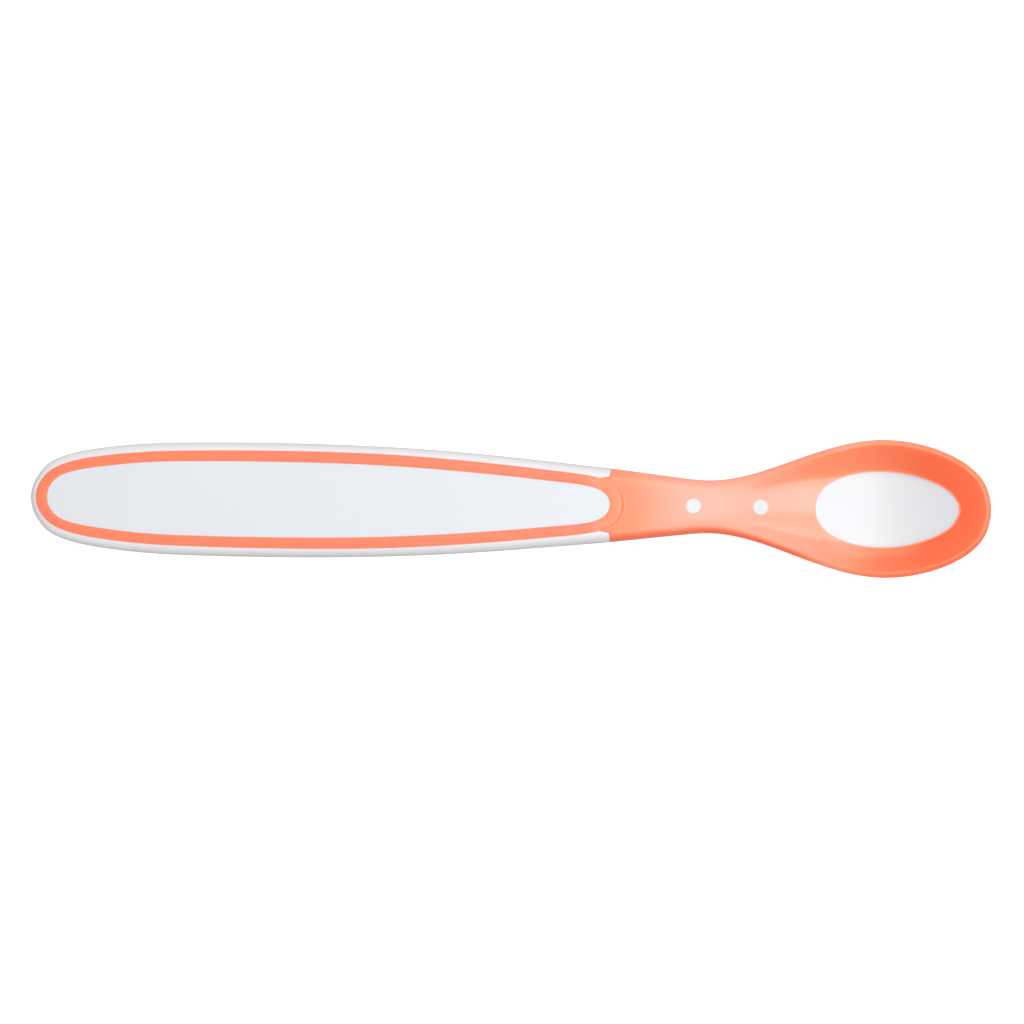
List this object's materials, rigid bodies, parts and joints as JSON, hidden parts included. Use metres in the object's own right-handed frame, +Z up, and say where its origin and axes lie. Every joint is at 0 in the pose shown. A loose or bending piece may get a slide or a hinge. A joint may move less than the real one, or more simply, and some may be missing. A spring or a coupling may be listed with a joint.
{
  "type": "baby spoon",
  "caption": "Long-handled soft-tipped weaning spoon: rigid core with hollow handle, cover panel in a soft band, and a soft skin round the neck and bowl.",
  "frame": {"origin": "middle of the bounding box on the plane that the spoon lies on", "axes": "+X along the spoon from the handle's end to the bowl's tip, +Y across it, +Z up out of the bowl"},
  "size_m": [0.165, 0.0238, 0.0074],
  "materials": {
    "core_plastic": "white polypropylene, satin moulded surface",
    "panel_plastic": "white polypropylene, fine satin moulded surface",
    "band_elastomer": "coral thermoplastic elastomer, soft satin",
    "skin_elastomer": "coral thermoplastic elastomer, soft satin, slightly translucent"
  },
  "bodies": {
    "root": {"handle_core": "core_plastic", "handle_panel": "panel_plastic", "grip_band": "band_elastomer", "soft_bowl": "skin_elastomer"}
  },
  "joints": []
}
